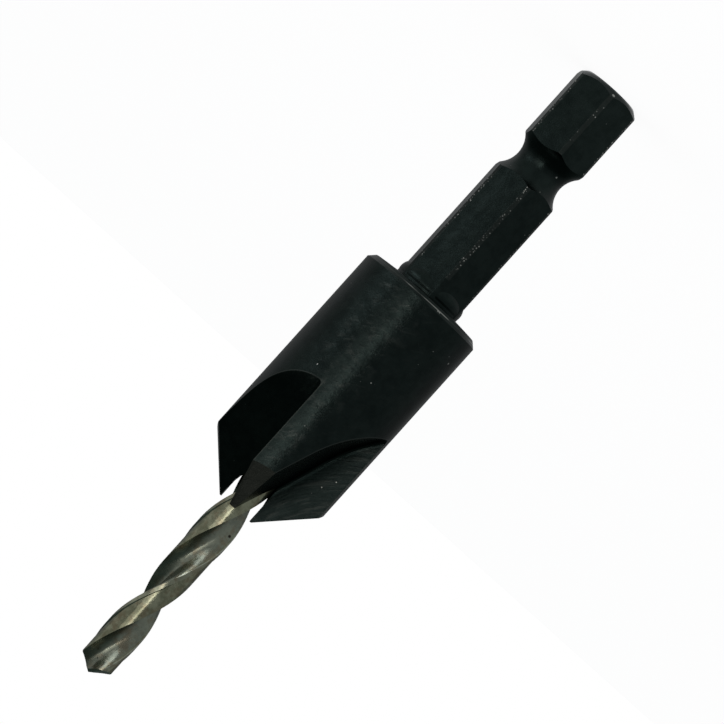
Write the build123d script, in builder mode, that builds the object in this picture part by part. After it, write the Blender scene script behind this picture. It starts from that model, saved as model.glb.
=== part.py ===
"""Countersink bit: a four-tooth countersink body with a hex power shank, and a twist drill held in it by a set screw.

Origin: centre of the shank's end face, on the tool's axis.
+Z runs along the tool to the drill's point, and +X is the way that the rake face of the tooth along -Y looks.
Cutting turns the tool counter-clockwise as seen from +Z.
"""

import os
from math import cos, radians, sin, sqrt, tan

from build123d import *

os.makedirs("parts", exist_ok=True)

# Hex shank: 1/4 in, with the ball groove of a quick-change chuck.
SHANK_L = 25.0
HEX_ACROSS_FLATS = 6.35
HEX_ACROSS_CORNERS = 7.14
HEX_TURN = 11.2
END_CHAMFER_R = 0.82
END_CHAMFER_L = 0.7
GROOVE_Z = 9.62
GROOVE_DEPTH = 1.07
GROOVE_ARC_R = 2.5

# Boss between the shank and the body: a rounded shoulder, then a shallow neck at the body's rear face, which is crowned.
BOSS_R = 3.54
BOSS_L = 1.85
BOSS_SHOULDER_L = 1.15
BOSS_SHOULDER_R = 1.25
BOSS_NECK_L = 0.2
BOSS_NECK_DEPTH = 0.04

# Countersink body and its teeth.
BODY_OD = 12.7
BODY_L = 25.33
REAR_CHAMFER = 0.55
REAR_CROWN = 0.25
CONE_HALF_ANGLE = 45.0
TOOTH_COUNT = 4
RAKE_OFFSET = 0.2
RAKE_TURN = 0.9
FLANK_RELIEF = 20.0
NOSE_LAND = 0.19

# Flutes: a sloping floor that sweeps out of the body in an arc.
FLOOR_AT_NOSE = 0.38
FLOOR_SLOPE = 19.0
FLOOR_L = 8.42
RUN_OUT_R = 15.0
RUN_OUT_SWEEP = 30.0
FLUTE_ROOT_R = 0.45

# Twist drill: 9/64 in, right-hand, with a plain shank that stops just above the bore's floor.
DRILL_D = 3.57
DRILL_REACH = 19.62
DRILL_LEAD = 23.8
DRILL_TURN = 63.2
DRILL_FLUTED_L = 33.0
DRILL_RUN_OUT_L = 3.0
DRILL_REAR_CHAMFER = 0.25
BORE_CLEARANCE = 0.02
BORE_END_GAP = 0.05
BORE_FLOOR_T = 2.5
MARGIN_DEPTH = 0.11
MARGIN_ANGLE = 13.0
MARGIN_STEP_ANGLE = 2.0
LAND_ANGLE = 76.0
WEB_T = 0.66
POINT_HALF_ANGLE = 59.0
POINT_RELIEF = 27.0

# Set screw: M4 x 4, with a cup point and a hex socket, square to the drill.
SCREW_D = 4.0
SCREW_L = 4.0
SCREW_FROM_REAR = 6.0
SCREW_CLEARANCE = 0.02
SCREW_GAP = 0.005
SCREW_POINT_CHAMFER = 0.7
SCREW_END_CHAMFER = 0.2
SOCKET_ACROSS_FLATS = 2.0
SOCKET_DEPTH = 2.0
CUP_R = 1.0
CUP_DEPTH = 0.5

# Spare length of what is cut away, and of the stock that the grinding of the flanks takes off.
SPARE = 2.0
GRINDING_STOCK = 0.6
UPWARD = (Align.CENTER, Align.CENTER, Align.MIN)

# Stations and radii that follow from the sizes above.
hex_r = HEX_ACROSS_FLATS / 2
hex_corner_r = HEX_ACROSS_CORNERS / 2
body_r = BODY_OD / 2
drill_r = DRILL_D / 2
drill_back_r = drill_r - MARGIN_DEPTH
bore_r = drill_r + BORE_CLEARANCE
screw_r = SCREW_D / 2 - SCREW_CLEARANCE
rear_face_z = SHANK_L
nose_z = SHANK_L + BODY_L
drill_tip_z = nose_z + DRILL_REACH
drill_flutes_z = drill_tip_z - DRILL_FLUTED_L
bore_floor_z = rear_face_z + BORE_FLOOR_T
drill_rear_z = bore_floor_z + BORE_END_GAP
screw_z = rear_face_z + SCREW_FROM_REAR
point_slope = 1 / tan(radians(POINT_HALF_ANGLE))

# The corner is where a tooth's cutting edge meets the outside of the body.
corner_x = sqrt(body_r**2 - RAKE_OFFSET**2)
corner_z = nose_z - (corner_x - bore_r - NOSE_LAND) / tan(radians(CONE_HALF_ANGLE))


def polar(radius, angle):
    """A sketch point at a radius and an angle in degrees."""
    return (radius * cos(radians(angle)), radius * sin(radians(angle)))


def drill_angle(z):
    """The angle of the drill's leading edge at a height: DRILL_TURN at the tip."""
    return DRILL_TURN + 360 * (z - drill_tip_z) / DRILL_LEAD


def floor_x(depth):
    """How far the flute floor is from the tool's axis, at a depth below the nose."""
    return FLOOR_AT_NOSE + depth * tan(radians(FLOOR_SLOPE))


# The flute ahead of the tooth along +X: open outwards and ahead, its floor is the back wall of the next tooth.
rake_plane = Plane(origin=(0, RAKE_OFFSET, 0), x_dir=(1, 0, 0), z_dir=(0, -1, 0))
with BuildPart() as flute_cutter:
    with BuildSketch(rake_plane):
        with BuildLine():
            outside = body_r + 2 * SPARE
            above = SPARE / 2
            floor = Line((floor_x(-above), nose_z + above), (floor_x(FLOOR_L), nose_z - FLOOR_L))
            run_out = JernArc(floor @ 1, floor % 1, RUN_OUT_R, RUN_OUT_SWEEP)
            Polyline(run_out @ 1, (outside, (run_out @ 1).Y), (outside, nose_z + above), floor @ 0)
        make_face()
    extrude(amount=-outside)
    on_rake_plane = flute_cutter.edges().filter_by(lambda e: abs(e.center().Y - RAKE_OFFSET) < 0.01)
    roots = on_rake_plane.filter_by(lambda e: e.center().X < body_r and e.center().Z < nose_z)
    fillet(roots.filter_by(Axis.X, reverse=True), FLUTE_ROOT_R)

# What stands above the ground flank of that tooth: the flank falls away behind the cutting edge.
flank = Plane(
    origin=(corner_x, RAKE_OFFSET, corner_z),
    x_dir=(-tan(radians(CONE_HALF_ANGLE)), 0, 1),
    z_dir=(1, -tan(radians(FLANK_RELIEF)), tan(radians(CONE_HALF_ANGLE))),
)
with BuildPart() as flank_cutter:
    with BuildSketch(flank):
        with Locations((-SPARE, -SPARE / 10)):
            Rectangle(BODY_OD, body_r, align=(Align.MIN, Align.MIN))
    extrude(amount=body_r)

with BuildPart() as countersink_body:
    # Hex shank, its corners turned down and its end chamfered.
    with BuildSketch():
        RegularPolygon(hex_r, 6, major_radius=False, rotation=HEX_TURN)
        Circle(hex_corner_r, mode=Mode.INTERSECT)
    extrude(amount=rear_face_z)
    with Locations((0, 0, GROOVE_Z)):
        Torus(hex_corner_r - GROOVE_DEPTH + GROOVE_ARC_R, GROOVE_ARC_R, mode=Mode.SUBTRACT)
    with BuildSketch(Plane.XZ):
        Polygon(
            (hex_corner_r - END_CHAMFER_R, 0),
            (hex_corner_r + END_CHAMFER_R, 2 * END_CHAMFER_L),
            (hex_corner_r + END_CHAMFER_R, 0),
            align=None,
        )
    revolve(mode=Mode.SUBTRACT)

    # Boss and body, turned as one profile.
    foot_z = rear_face_z - BOSS_L
    foot_r = 0.93 * hex_r
    neck_r = BOSS_R - BOSS_NECK_DEPTH
    stock_z = corner_z + GRINDING_STOCK
    nose_r = body_r - (nose_z - stock_z) * tan(radians(CONE_HALF_ANGLE))
    with BuildSketch(Plane.XZ):
        with BuildLine():
            shoulder = RadiusArc((foot_r, foot_z), (BOSS_R, foot_z + BOSS_SHOULDER_L), -BOSS_SHOULDER_R)
            Polyline(
                shoulder @ 1,
                (BOSS_R, rear_face_z - REAR_CROWN - 2 * BOSS_NECK_L),
                (neck_r, rear_face_z - REAR_CROWN - BOSS_NECK_L),
                (neck_r, rear_face_z - REAR_CROWN),
                (body_r - REAR_CHAMFER, rear_face_z),
                (body_r, rear_face_z + REAR_CHAMFER),
                (body_r, stock_z),
                (nose_r, nose_z),
                (0, nose_z),
                (0, foot_z),
                shoulder @ 0,
            )
        make_face()
    revolve()

    # Bore with a drilled bottom, crossed by the hole of the set screw.
    with Locations((0, 0, bore_floor_z)):
        Cylinder(bore_r, nose_z - bore_floor_z, align=UPWARD, mode=Mode.SUBTRACT)
    with Locations(Location((0, 0, bore_floor_z), (180, 0, 0))):
        Cone(bore_r, 0, bore_r * point_slope, align=UPWARD, mode=Mode.SUBTRACT)
    with Locations(Location((0, 0, screw_z), (-90, 0, 0))):
        Cylinder(SCREW_D / 2, BODY_OD, align=UPWARD, mode=Mode.SUBTRACT)

    # Flutes and flanks of all the teeth.
    with PolarLocations(0, TOOTH_COUNT, start_angle=RAKE_TURN):
        add(flute_cutter.part, mode=Mode.SUBTRACT)
        add(flank_cutter.part, mode=Mode.SUBTRACT)
countersink_body.part.label = "countersink_body"

# Section of the drill: two lands of a half turn, each with a margin at its leading edge and a hollow flute behind it.
with BuildSketch() as drill_section:
    with BuildLine():
        for turn in (0, 180):
            heel = turn - LAND_ANGLE
            margin_end = turn - MARGIN_ANGLE
            back_start = margin_end - MARGIN_STEP_ANGLE
            CenterArc((0, 0), drill_r, turn, -MARGIN_ANGLE)
            Line(polar(drill_r, margin_end), polar(drill_back_r, back_start))
            CenterArc((0, 0), drill_back_r, back_start, heel - back_start)
            Spline(
                polar(drill_back_r, heel),
                polar(0.66 * drill_back_r, heel + 2),
                polar(0.34 * drill_back_r, heel - 9),
                polar(0.65 * WEB_T, heel - 51),
                polar(0.55 * drill_r, turn - 165),
                polar(drill_r, turn - 180),
            )
    make_face()

fluted_l = DRILL_FLUTED_L + SPARE
twisted_lands = Solid.extrude_linear_with_rotation(
    drill_section.sketch.face(),
    center=(0, 0, 0),
    normal=(0, 0, fluted_l),
    angle=360 * fluted_l / DRILL_LEAD,
)

# What is ground away above one lip of the drill, whose outer corner is along +X here.
lip_fall = tan(radians(POINT_RELIEF))
lip_plane = Plane(
    origin=(0, WEB_T / 2, drill_tip_z + WEB_T / 2 * lip_fall),
    x_dir=(-1, 0, point_slope),
    z_dir=(point_slope, -lip_fall, 1),
)
with BuildPart() as lip_cutter:
    with BuildSketch(lip_plane):
        Rectangle(3 * DRILL_D, 3 * DRILL_D)
    extrude(amount=2 * SPARE)

with BuildPart() as pilot_drill:
    with Locations(Location((0, 0, drill_flutes_z), (0, 0, drill_angle(drill_flutes_z)))):
        add(twisted_lands)
    with Locations((0, 0, drill_rear_z)):
        Cylinder(drill_r, drill_flutes_z - drill_rear_z, align=UPWARD)
    with Locations((0, 0, drill_flutes_z)):
        Cone(drill_r, WEB_T / 2, DRILL_RUN_OUT_L, align=UPWARD)
    lip_angle = drill_angle(drill_tip_z - drill_r * point_slope)
    for turn in (0, 180):
        add(lip_cutter.part, rotation=(0, 0, lip_angle + turn), mode=Mode.SUBTRACT)
    with BuildSketch(Plane.XZ):
        Polygon(
            (0, drill_tip_z),
            (DRILL_D, drill_tip_z - DRILL_D * point_slope),
            (DRILL_D, drill_tip_z + SPARE),
            (0, drill_tip_z + SPARE),
            align=None,
        )
    revolve(mode=Mode.SUBTRACT)
    chamfer(pilot_drill.edges().sort_by(Axis.Z)[0], DRILL_REAR_CHAMFER)
pilot_drill.part.label = "pilot_drill"

with BuildPart() as set_screw:
    with Locations(Location((0, drill_r + SCREW_GAP, screw_z), (-90, 0, 0))):
        Cylinder(screw_r, SCREW_L, align=UPWARD)
        Cone(CUP_R, 0, CUP_DEPTH, align=UPWARD, mode=Mode.SUBTRACT)
    rims = set_screw.edges().filter_by(GeomType.CIRCLE).group_by(SortBy.RADIUS)[-1]
    chamfer(rims.sort_by(Axis.Y)[0], SCREW_POINT_CHAMFER)
    chamfer(rims.sort_by(Axis.Y)[-1], SCREW_END_CHAMFER)
    with BuildSketch(set_screw.faces().sort_by(Axis.Y)[-1]):
        RegularPolygon(SOCKET_ACROSS_FLATS / 2, 6, major_radius=False)
    extrude(amount=-SOCKET_DEPTH, mode=Mode.SUBTRACT)
set_screw.part.label = "set_screw"

for piece in (countersink_body, pilot_drill, set_screw):
    export_step(piece.part, "parts/" + piece.part.label + ".step")
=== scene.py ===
import math

import bmesh
import bpy
from mathutils import Matrix, Vector

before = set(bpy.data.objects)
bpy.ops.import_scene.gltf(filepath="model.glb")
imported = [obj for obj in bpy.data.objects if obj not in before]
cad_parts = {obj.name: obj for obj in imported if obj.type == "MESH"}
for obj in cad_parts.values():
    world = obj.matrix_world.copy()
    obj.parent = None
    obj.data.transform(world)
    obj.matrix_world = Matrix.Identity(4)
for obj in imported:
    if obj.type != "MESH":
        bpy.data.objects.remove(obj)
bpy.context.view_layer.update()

# Camera: on a tripod 35 cm from the bit, level with its teeth, with a long lens. It is rolled well
# over, so that the upright bit lies across the picture with its drill down to the left.
CAMERA_AZIMUTH = math.radians(-12.8)
CAMERA_ELEVATION = math.radians(1.45)
CAMERA_ROLL = math.radians(-138.01)
CAMERA_DISTANCE = 0.3532
CLIP_NEAR = 0.01
CLIP_FAR = 20.0
SENSOR_WIDTH = 36.0
FOCAL_PIXELS = 3944.0
PICTURE_PIXELS = 724.0
AIM_HEIGHT = 0.033003
AIM_ASIDE = 0.000331


def add_object(name, data):
    made = bpy.data.objects.new(name, data)
    bpy.context.scene.collection.objects.link(made)
    return made


back = Vector((
    math.sin(CAMERA_AZIMUTH) * math.cos(CAMERA_ELEVATION),
    -math.cos(CAMERA_AZIMUTH) * math.cos(CAMERA_ELEVATION),
    math.sin(CAMERA_ELEVATION),
))
aside = Vector((0, 0, 1)).cross(back).normalized()
upward = back.cross(aside)
picture_right = math.cos(CAMERA_ROLL) * aside + math.sin(CAMERA_ROLL) * upward
picture_up = -math.sin(CAMERA_ROLL) * aside + math.cos(CAMERA_ROLL) * upward
aim = Vector((0, 0, AIM_HEIGHT)) + AIM_ASIDE * aside
camera_data = bpy.data.cameras.new("camera")
camera_data.sensor_fit = "HORIZONTAL"
camera_data.sensor_width = SENSOR_WIDTH
camera_data.lens = FOCAL_PIXELS / PICTURE_PIXELS * SENSOR_WIDTH
camera_data.clip_start = CLIP_NEAR
camera_data.clip_end = CLIP_FAR
camera = add_object("camera", camera_data)
camera.matrix_world = Matrix.Translation(aim + CAMERA_DISTANCE * back) @ Matrix(
    (picture_right, picture_up, back)
).transposed().to_4x4()
bpy.context.scene.camera = camera
bpy.context.scene.view_settings.view_transform = "Standard"


# Studio floor and room: a broad white floor that the bit stands on, and white all round it.
# Both show plain white to the camera and in the metal, and the floor still takes the bit's shadow.
FLOOR_HALF = 6.0
WHITE = (1.0, 1.0, 1.0, 1.0)
FLOOR_PAINT = (0.86, 0.86, 0.86, 1.0)
FLOOR_GLOW = 1.15
FLOOR_GLOW_SHARE = 0.8
ROOM_GREY = (0.36, 0.37, 0.38, 1.0)


class Shade:
    """A socket of a material's nodes, on which the usual signs of arithmetic add Math nodes."""

    def __init__(self, tree, socket=None):
        self.tree = tree
        self.socket = socket
        if socket is None:
            tree.nodes.clear()

    def finish(self, surface, ends="ShaderNodeOutputMaterial"):
        self.tree.links.new(surface.socket, self.tree.nodes.new(ends).inputs["Surface"])

    def node(self, kind, settings=None, out=0, **inputs):
        """Add a node. An input is named by its socket, with _ for a space, or by _ and its number."""
        made = self.tree.nodes.new(kind)
        for name, value in (settings or {}).items():
            setattr(made, name, value)
        for name, value in inputs.items():
            key = int(name[1:]) if name[0] == "_" else name.replace("_", " ")
            if isinstance(value, Shade):
                self.tree.links.new(value.socket, made.inputs[key])
            else:
                made.inputs[key].default_value = value
        return Shade(self.tree, made.outputs[out])

    def maths(self, operation, *values):
        numbered = {f"_{n}": value for n, value in enumerate(values)}
        return self.node("ShaderNodeMath", {"operation": operation}, **numbered)

    def ramp(self, value, low, high):
        """0 where the value is at low, 1 where it is at high, and a smooth step between them."""
        return self.node("ShaderNodeMapRange", {"interpolation_type": "SMOOTHSTEP"},
                         _0=value, _1=low, _2=high)

    def mix(self, share, first, second):
        return self.node("ShaderNodeMix", {"data_type": "RGBA"}, out=2, _0=share, _6=first, _7=second)

    def __add__(self, other):
        return self.maths("ADD", self, other)

    def __sub__(self, other):
        return self.maths("SUBTRACT", self, other)

    def __rsub__(self, other):
        return self.maths("SUBTRACT", other, self)

    def __mul__(self, other):
        return self.maths("MULTIPLY", self, other)

    def __truediv__(self, other):
        return self.maths("DIVIDE", self, other)

    __radd__ = __add__
    __rmul__ = __mul__


def new_finish(name):
    """A material and its nodes, which are still to be added."""
    finish = bpy.data.materials.new(name)
    finish.use_nodes = True
    return finish, Shade(finish.node_tree)


def stand_in_studio(name, sheet, finish):
    """Make a bmesh an object of the studio, which isn't part of the bit."""
    mesh = bpy.data.meshes.new(name)
    sheet.to_mesh(mesh)
    sheet.free()
    mesh.materials.append(finish)
    made = add_object(name, mesh)
    return made


def seen_directly(nodes):
    """1 where the camera or a mirrored or refracted ray looks, so metal shows the same white."""
    kinds = ("Is Camera Ray", "Is Glossy Ray", "Is Transmission Ray")
    camera_ray, mirrored, refracted = [nodes.node("ShaderNodeLightPath", out=kind) for kind in kinds]
    return camera_ray + mirrored + refracted


floor_paint, nodes = new_finish("floor_paint")
matt = nodes.node("ShaderNodeBsdfDiffuse", Color=FLOOR_PAINT)
glow = nodes.node("ShaderNodeEmission", Color=WHITE, Strength=FLOOR_GLOW)
nodes.finish(nodes.node("ShaderNodeMixShader", _0=seen_directly(nodes) * FLOOR_GLOW_SHARE,
                        _1=matt, _2=glow))
floor_sheet = bmesh.new()
bmesh.ops.create_grid(floor_sheet, x_segments=1, y_segments=1, size=FLOOR_HALF)
stand_in_studio("floor", floor_sheet, floor_paint)

room = bpy.data.worlds.new("room")
bpy.context.scene.world = room
room.use_nodes = True
nodes = Shade(room.node_tree)
dim = nodes.node("ShaderNodeBackground", Color=ROOM_GREY, Strength=1.0)
white = nodes.node("ShaderNodeBackground", Color=WHITE, Strength=1.0)
nodes.finish(nodes.node("ShaderNodeMixShader", _0=seen_directly(nodes), _1=dim, _2=white),
             "ShaderNodeOutputWorld")


# Grey cloth and pale paper: they lie on the floor and stand round the bit, so that the steel has
# something darker than white to mirror. Mirrored rays alone see them, and they cast no shadow.
CLOTH_OUTLINE = [(0.0029, 0.0001), (0.12, 0.0002), (0.9, 0.001), (0.9, 0.18), (0.86, 0.5), (0.7, 0.8),
                 (0.45, 0.95), (0.02, 1.0)]
CLOTH_NEAR = (0.45, 0.46, 0.46, 1.0)
CLOTH_FAR = (0.29, 0.3, 0.305, 1.0)
CLOTH_BEHIND = (0.135, 0.14, 0.14, 1.0)
CLOTH_BEHIND_NEAR_SHARE = 0.6
CLOTH_HIGH = (0.05, 0.07, 0.065, 1.0)
PAPER_OUTLINE = [(0.1, 0.001), (0.24, 0.002)]
PAPER_FROM = 38.0
PAPER_TO = 74.0
PAPER_WHITE = (2.2, 2.2, 2.3, 1.0)
SPIN_STEPS = 48


def swept_round(name, outline, first, last):
    """A sheet spun about the bit from one bearing to another, in degrees, and its empty nodes."""
    sheet = bmesh.new()
    rim = [sheet.verts.new((0, -radius, height)) for radius, height in outline]
    edges = [sheet.edges.new(pair) for pair in zip(rim, rim[1:])]
    bmesh.ops.rotate(sheet, verts=rim, cent=(0, 0, 0),
                     matrix=Matrix.Rotation(math.radians(first), 3, "Z"))
    bmesh.ops.spin(sheet, geom=rim + edges, cent=(0, 0, 0), axis=(0, 0, 1),
                   angle=math.radians(last - first), steps=SPIN_STEPS)
    finish, nodes = new_finish(name)
    made = stand_in_studio(name, sheet, finish)
    made.visible_camera = made.visible_shadow = made.visible_diffuse = False
    return nodes


nodes = swept_round("grey_cloth", CLOTH_OUTLINE, -180.0, 180.0)
place = nodes.node("ShaderNodeTexCoord", out="Object")
away = nodes.node("ShaderNodeVectorMath", {"operation": "LENGTH"}, out="Value", _0=place)
back_there, height = [nodes.node("ShaderNodeSeparateXYZ", out=n, Vector=place) for n in (1, 2)]
behind = nodes.ramp(back_there / away, 0.35, 0.8)
behind = behind * (nodes.ramp(away, 0.22, 0.5) * (1 - CLOTH_BEHIND_NEAR_SHARE) + CLOTH_BEHIND_NEAR_SHARE)
felt = nodes.mix(nodes.ramp(away, 0.02, 0.14), CLOTH_NEAR, CLOTH_FAR)
felt = nodes.mix(behind, felt, CLOTH_BEHIND)
felt = nodes.mix(nodes.ramp(height, 0.1, 0.4), felt, CLOTH_HIGH)
nodes.finish(nodes.node("ShaderNodeEmission", Strength=1.0, Color=felt))
nodes = swept_round("pale_paper", PAPER_OUTLINE, PAPER_FROM, PAPER_TO)
nodes.finish(nodes.node("ShaderNodeEmission", Strength=1.0, Color=PAPER_WHITE))


# Lamps: four plain soft boxes, turned to the middle of the bit. A narrow bright one just right of
# the camera draws the line of light down the body, two wider and dimmer ones stand further to the
# right, and a square one hangs overhead.
LAMP_COLOUR = (1.0, 0.93, 0.9)
LAMP_AIM = Vector((0, 0, 0.035))


def soft_box(name, bearing, distance, height, width, tall, brightness):
    """A lamp's bright face, at a bearing in degrees and so many metres out from the bit's axis."""
    lamp = bpy.data.lights.new(name, "AREA")
    lamp.shape = "RECTANGLE"
    lamp.size = width
    lamp.size_y = tall
    lamp.color = LAMP_COLOUR
    lamp.energy = brightness * math.pi * width * tall
    turn = math.radians(bearing)
    place = Vector((math.sin(turn) * distance, -math.cos(turn) * distance, height))
    box = add_object(name, lamp)
    box.matrix_world = Matrix.Translation(place) @ (
        (place - LAMP_AIM).to_track_quat("Z", "Y").to_matrix().to_4x4())
    box.visible_camera = False


soft_box("slit_box", bearing=-2, distance=0.5, height=0.04, width=0.09, tall=0.26, brightness=2.6)
soft_box("near_box", bearing=16, distance=0.5, height=0.045, width=0.23, tall=0.2, brightness=0.8)
soft_box("side_box", bearing=67, distance=0.6, height=0.06, width=0.75, tall=0.2, brightness=0.16)
soft_box("top_box", bearing=0, distance=0.08, height=0.6, width=0.25, tall=0.25, brightness=0.3)


# Countersink body: one piece of tool steel, turned, milled and ground, then blackened in a hot
# oxide bath and oiled. It carries the hexagonal shank, the boss and the four fluted teeth.
OXIDE_DARK = (0.0132, 0.0196, 0.0182, 1.0)
OXIDE_PALE = (0.0196, 0.0282, 0.0262, 1.0)
OXIDE_SCUFF_AND_SHEEN = (0.042, 0.05, 0.046, 1.0)
OXIDE_GROUND = (0.049, 0.053, 0.047, 1.0)
OXIDE_SHADED = (0.0065, 0.0115, 0.0105, 1.0)
BARE_STEEL_AND_GLINT = (0.42, 0.43, 0.4, 1.0)
# Sizes that the marks follow, in millimetres up from the shank's end and out from the axis.
MILLIMETRE = 0.001
BODY_R = 6.35
REAR_EDGE_Z = 25.27
REAR_EDGE_HIGHLIGHT = 0.055
SHANK_CORNER_R = 3.57
SHANK_TOP_Z = 22.6
CORNER_DOT = 0.085
CORNER_DOT_SPACING = 0.22
PINPOINT = 0.06
PINPOINT_SPACING = 1.2
GROOVE_R = 3.2
LIT_STRIP_FROM = 1.4
LIT_STRIP_TO = 3.4
TEETH_FROM_Z = 36.0
GROUND_FROM_Z = 45.0
NOSE_Z = 50.33
RAKE_OFFSET = 0.2
RAKE_TURN = math.radians(0.9)
FLOOR_AT_NOSE = 0.38
FLOOR_RISE = math.tan(math.radians(19))
RUN_OUT_Z = 41.91
RUN_OUT_CENTRE = (17.46, 46.79)
RUN_OUT_R = 15.0
CUTTER_CENTRE = (13.8, 52.6)
FLOOR_EDGE_LINE = 0.11
RAKE_EDGE_LINE = 0.09
# Chipped spots in the coat, and painted glints drawn as uncoated steel at the rear edge, the shank's end
# and the groove (the first four): each one's place on the bit, across, deep and up, and its size.
COAT_CHIPS_AND_GLINTS = [
    ((-3.12, -5.35, 25.28), 0.16), ((-2.95, -5.45, 25.28), 0.16), ((-1.17, -3.12, 0.5), 0.2),
    ((-1.97, -1.6, 9.21), 0.12), ((1.85, -6.07, 35.9), 0.08), ((-2.83, -5.68, 34.0), 0.09),
    ((-6.05, -1.92, 28.07), 0.12), ((-4.66, -0.28, 43.75), 0.08), ((-5.35, -0.29, 42.55), 0.08),
]


def turned_place(nodes):
    """Place on the bit in millimetres: across, deep and up, and the distance from its axis."""
    place = nodes.node("ShaderNodeTexCoord", out="Object")
    scaled = nodes.node("ShaderNodeVectorMath", {"operation": "SCALE"}, _0=place, Scale=1 / MILLIMETRE)
    across, deep, up = [nodes.node("ShaderNodeSeparateXYZ", out=n, Vector=scaled) for n in range(3)]
    return scaled, across, deep, up, nodes.maths("SQRT", across * across + deep * deep)


def grain(nodes, vector, scale, detail, roughness=0.5):
    return nodes.node("ShaderNodeTexNoise", Vector=vector, Scale=scale, Detail=detail,
                      Roughness=roughness)


def specks(nodes, vector, spacing, size, share):
    """Round pinpoints: one in some of the cells of a loose grid, as wide as size."""
    cells = {"Vector": vector, "Scale": 1 / spacing, "Randomness": 1.0}
    reach = nodes.node("ShaderNodeTexVoronoi", out="Distance", **cells)
    pick = nodes.node("ShaderNodeSeparateXYZ", out=0, Vector=nodes.node(
        "ShaderNodeTexVoronoi", out="Color", **cells))
    return nodes.ramp(reach * spacing, size, size * 0.4) * nodes.maths("LESS_THAN", pick, share)


def near(nodes, value, width):
    """1 where the value is nought, falling to 0 at the width on either side."""
    return nodes.ramp(nodes.maths("ABSOLUTE", value), width, width * 0.3)


def marked_spots(nodes, place, spots):
    """1 within a spot's size of where it is, for each of the spots."""
    marked = 0.0
    for where, size in spots:
        reach = nodes.node("ShaderNodeVectorMath", {"operation": "DISTANCE"}, out="Value",
                           _0=place, _1=where)
        marked = nodes.maths("MAXIMUM", nodes.ramp(reach, size, size * 0.4), marked)
    return marked


def worn_corners_and_rim_highlight(nodes, place, up, radius):
    """Uncoated worn dots along the shank's corners, and a thin painted highlight line round the rear
    edge of the body, drawn in the colour of uncoated steel.
    """
    corner = nodes.ramp(radius, SHANK_CORNER_R - 0.035, SHANK_CORNER_R - 0.01)
    corner = corner * nodes.maths("LESS_THAN", up, SHANK_TOP_Z)
    patchy = nodes.ramp(grain(nodes, place, 0.5, 2.0), 0.38, 0.6)
    dots = corner * (specks(nodes, place, CORNER_DOT_SPACING, CORNER_DOT, 0.75) * patchy + 0.03)
    # Painted highlight: a broken line of light across the rear chamfer, drawn as uncoated steel.
    rim_highlight = near(nodes, up - REAR_EDGE_Z, REAR_EDGE_HIGHLIGHT) * nodes.ramp(radius, BODY_R - 0.6, BODY_R - 0.5)
    highlight_breaks = nodes.ramp(grain(nodes, place, 0.42, 2.0), 0.46, 0.66)
    return nodes.maths("MAXIMUM", dots, rim_highlight * (highlight_breaks * 0.7 + 0.06))


def tooth_marks(nodes, across, deep, up, radius):
    """The cutting faces, their worn edges lightened further by a painted edge highlight, painted shade
    at the flute roots, and the cutter's sweep over them.

    A point of any flute is turned into the first one: along is how far out it lies on the tooth's
    cutting face, and off is how far it stands off the bit's middle plane.
    """
    turned_across = across * math.cos(RAKE_TURN) + deep * math.sin(RAKE_TURN)
    turned_deep = deep * math.cos(RAKE_TURN) - across * math.sin(RAKE_TURN)
    wide = nodes.maths("ABSOLUTE", turned_across)
    thick = nodes.maths("ABSOLUTE", turned_deep)
    same_sign = nodes.maths("GREATER_THAN", turned_across * turned_deep, 0.0)
    along = thick + (wide - thick) * same_sign
    off = wide + (thick - wide) * same_sign
    outside = nodes.ramp(radius, BODY_R - 0.07, BODY_R - 0.03)
    cutting_face = nodes.ramp(off, RAKE_OFFSET + 0.06, RAKE_OFFSET + 0.02) * (1 - outside)
    cutting_face = cutting_face * nodes.ramp(up, TEETH_FROM_Z, TEETH_FROM_Z + 0.4)

    sweep_up = up - RUN_OUT_CENTRE[1]
    run_out = RUN_OUT_CENTRE[0] - nodes.maths("SQRT", nodes.maths(
        "MAXIMUM", RUN_OUT_R ** 2 - sweep_up * sweep_up, 1.0))
    straight = FLOOR_AT_NOSE + (NOSE_Z - up) * FLOOR_RISE
    floor_edge = straight + (run_out - straight) * nodes.maths("LESS_THAN", up, RUN_OUT_Z)
    # The cutting faces' edges come out lighter: partly worn coat, partly a painted edge highlight.
    edges = nodes.maths("MAXIMUM", near(nodes, along - floor_edge, FLOOR_EDGE_LINE),
                        near(nodes, off - RAKE_OFFSET, RAKE_EDGE_LINE))
    edges = edges * nodes.ramp(up, TEETH_FROM_Z, TEETH_FROM_Z + 1.0) * outside
    # Painted shade: the cutting face darkens towards the flute's floor, where the corner shades it.
    root_shade = nodes.ramp(along - floor_edge, 2.3, 0.2) * nodes.ramp(radius, 6.0, 4.0)

    cutter_across = along - CUTTER_CENTRE[0]
    cutter_up = up - CUTTER_CENTRE[1]
    sweep = nodes.maths("SQRT", cutter_across * cutter_across + cutter_up * cutter_up)
    return cutting_face, edges, root_shade, sweep


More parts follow.
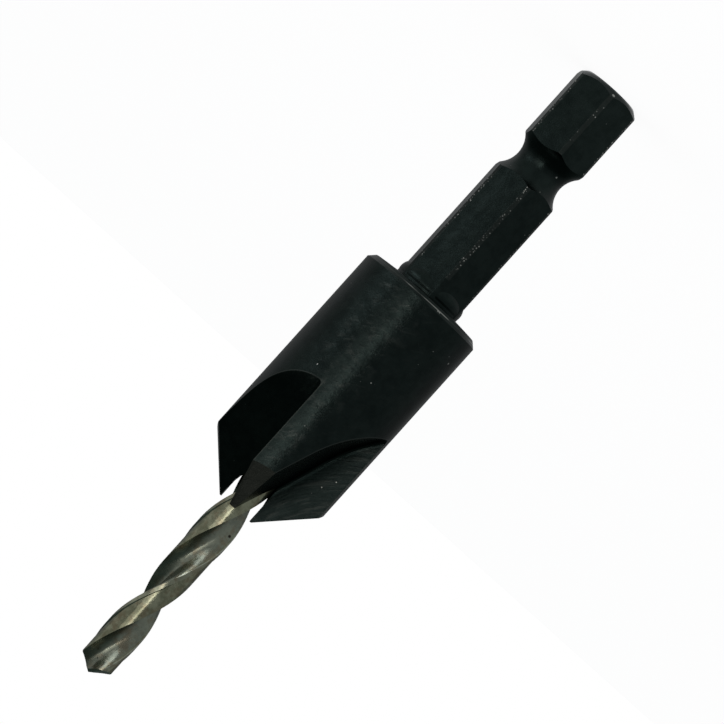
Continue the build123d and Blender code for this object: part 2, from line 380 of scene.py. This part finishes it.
def black_oxide(name):
    """A mottled blue-black coat with tool marks and uncoated worn spots, and painted light: a painted
    highlight strip scuffed lighter, painted edge highlights, glints and rear-edge line, and painted
    shade at the flute roots.
    """
    coat, nodes = new_finish(name)
    place, across, deep, up, radius = turned_place(nodes)
    cutting_face, edge_rub_and_sheen, root_shade, sweep = tooth_marks(nodes, across, deep, up, radius)
    cloud = grain(nodes, place, 0.5, 5.0, 0.6)
    mottle = grain(nodes, place, 1.3, 4.0, 0.6)

    # Painted highlight: the strip down the side of the body that faces the lamps, where their streak of
    # light runs, is scuffed lighter than the rest of the coat.
    round_body = nodes.maths("ARCTAN2", across, 0 - deep) * BODY_R
    lit_strip = nodes.ramp(nodes.maths("ABSOLUTE", round_body), LIT_STRIP_TO, LIT_STRIP_FROM) * 0.8 + 0.2
    slanted = nodes.node("ShaderNodeCombineXYZ", X=round_body * 0.45 + up * 0.25,
                         Y=up * 1.3 - round_body * 0.75, Z=radius * 0.8)
    rubs = nodes.maths("MAXIMUM", nodes.ramp(grain(nodes, slanted, 1.5, 5.0, 0.7), 0.52, 0.68),
                       nodes.ramp(grain(nodes, place, 0.95, 4.0, 0.6), 0.54, 0.7) * 0.7)
    scuffs_and_streak = lit_strip * nodes.ramp(radius, 4.5, 5.5) * rubs

    milled = nodes.node("ShaderNodeCombineXYZ", X=sweep * 2.6, Y=up * 0.3, Z=across * 0.12)
    strokes = grain(nodes, milled, 1.0, 4.0, 0.7)
    turned = nodes.node("ShaderNodeCombineXYZ", X=0.0, Y=radius * 2.0, Z=up)
    rings = grain(nodes, turned, 6.0, 2.0)
    in_groove = nodes.ramp(radius, GROOVE_R + 0.1, GROOVE_R - 0.1)
    facing = nodes.node("ShaderNodeNewGeometry", out="Normal")
    facing_up = nodes.node("ShaderNodeSeparateXYZ", out=2, Vector=facing)
    ground = nodes.ramp(facing_up, 0.5, 0.6) * nodes.ramp(up, GROUND_FROM_Z, GROUND_FROM_Z + 0.4)

    # Worn and chipped spots, with painted glints and the painted highlight line round the rear edge, all
    # drawn in uncoated steel's colour.
    wear_and_glints = nodes.maths("MAXIMUM", specks(nodes, place, PINPOINT_SPACING, PINPOINT, 0.4) * 0.6,
                       worn_corners_and_rim_highlight(nodes, place, up, radius))
    wear_and_glints = nodes.maths("MAXIMUM", wear_and_glints, marked_spots(nodes, place, COAT_CHIPS_AND_GLINTS))
    tone = nodes.mix(nodes.ramp(cloud * 0.5 + mottle * 0.5, 0.36, 0.64), OXIDE_DARK, OXIDE_PALE)
    # Painted highlight: the lamp-facing strip and the tooth edges are lightened, and the scuff pattern
    # in them is worn coat.
    tone = nodes.mix(nodes.maths("MAXIMUM", scuffs_and_streak * 0.75, edge_rub_and_sheen), tone, OXIDE_SCUFF_AND_SHEEN)
    tone = nodes.mix(cutting_face * nodes.ramp(strokes, 0.48, 0.68) * 0.75, tone, OXIDE_SCUFF_AND_SHEEN)
    # Painted shade at the flute roots.
    tone = nodes.mix(cutting_face * root_shade * 0.85, tone, OXIDE_SHADED)
    tone = nodes.mix(ground, tone, OXIDE_GROUND)
    tone = nodes.mix(wear_and_glints, tone, BARE_STEEL_AND_GLINT)
    rough = mottle * 0.1 + cloud * 0.04 + 0.2 + cutting_face * 0.06
    tooled = rings * (in_groove * 0.003 + 0.0012) + cutting_face * strokes * 0.03
    uneven = mottle * (lit_strip * 0.028 + 0.006) + cloud * (lit_strip * 0.014 + 0.014)
    relief = nodes.node("ShaderNodeBump", Strength=1.0, Distance=MILLIMETRE,
                        Height=tooled + uneven + scuffs_and_streak * 0.003 - wear_and_glints * 0.004)
    nodes.finish(nodes.node("ShaderNodeBsdfPrincipled", Base_Color=tone, Roughness=rough, Metallic=1.0,
                            Normal=relief))
    return coat


def dress(node, finish):
    """Give one of the bit's solids its finish."""
    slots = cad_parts[node].data.materials
    slots.clear()
    slots.append(finish)


dress("countersink_body", black_oxide("black_oxide"))


# Pilot drill: a twist drill of bright high-speed steel, its flutes and lands ground lengthwise
# along the twist and its point ground to two flats. It is gripped in the body's bore.
DRILL_LEAD = 23.8
FLUTE_R = 1.66
LAND_R = 1.68
MARGIN_R = 1.74
STEEL_DULL = (0.185, 0.195, 0.128, 1.0)
STEEL_CLEAN = (0.37, 0.385, 0.27, 1.0)
STEEL_FLUTE_SHADE = (0.2, 0.235, 0.22, 1.0)
STEEL_PAINTED_LIGHT = (0.56, 0.6, 0.54, 1.0)
STEEL_BROWNED = (0.2, 0.15, 0.09, 1.0)
DIRT = (0.03, 0.028, 0.022, 1.0)
DIRT_SPECK = 0.12
DIRT_SPACING = 1.5
STEEL_PITS = [((-1.28, 0.24, 52.53), 0.2), ((-1.24, 0.1, 52.35), 0.15)]

ground_steel, nodes = new_finish("ground_steel")
place, across, deep, up, radius = turned_place(nodes)
twist = up * (-2 * math.pi / DRILL_LEAD)
turn, tilt = nodes.maths("COSINE", twist), nodes.maths("SINE", twist)
along = nodes.node("ShaderNodeCombineXYZ", X=across * turn - deep * tilt, Y=across * tilt + deep * turn,
                   Z=up * 0.07)
strokes = grain(nodes, along, 6.0, 4.0, 0.6)
cloud = grain(nodes, place, 0.8, 5.0, 0.6)
mottle = grain(nodes, place, 2.6, 4.0, 0.65)
browned = nodes.ramp(grain(nodes, place, 1.1, 5.0, 0.65), 0.46, 0.64)
hollow = nodes.ramp(radius, FLUTE_R, FLUTE_R - 0.16)
margin = nodes.ramp(radius, MARGIN_R - 0.02, MARGIN_R)
step = nodes.ramp(radius, LAND_R, LAND_R + 0.02) * (1 - margin)
tone = nodes.mix(nodes.ramp(cloud * 0.6 + mottle * 0.4, 0.36, 0.64), STEEL_DULL, STEEL_CLEAN)
# Painted shade in the flute hollows: darker there, and tinted bluer as a painted highlight colour, so
# that their highlights come out whiter.
tone = nodes.mix(hollow * 0.5, tone, STEEL_FLUTE_SHADE)
# Painted light: the clearance step is lightened to paint out the shade in its crevice, and the margin is
# lightened a little as a painted highlight.
tone = nodes.mix(margin * 0.15 + step * 0.8, tone, STEEL_PAINTED_LIGHT)
tone = nodes.mix(browned * 0.5, tone, STEEL_BROWNED)
tone = nodes.mix(nodes.ramp(mottle, 0.6, 0.72) * 0.45, tone, DIRT)
tone = nodes.mix(specks(nodes, place, DIRT_SPACING, DIRT_SPECK, 0.2) * 0.8, tone, DIRT)
tone = nodes.mix(marked_spots(nodes, place, STEEL_PITS), tone, DIRT)
relief = nodes.node("ShaderNodeBump", Strength=1.0, Distance=MILLIMETRE,
                    Height=strokes * 0.006 + mottle * 0.006)
nodes.finish(nodes.node("ShaderNodeBsdfPrincipled", Base_Color=tone, Metallic=1.0, Normal=relief,
                        Roughness=cloud * 0.1 + strokes * 0.06 + 0.12 + hollow * 0.08))
dress("pilot_drill", ground_steel)


# Set screw: a socket set screw of blackened steel, screwed in through the side of the body until
# its point grips the drill.
dress("set_screw", black_oxide("screw_black"))
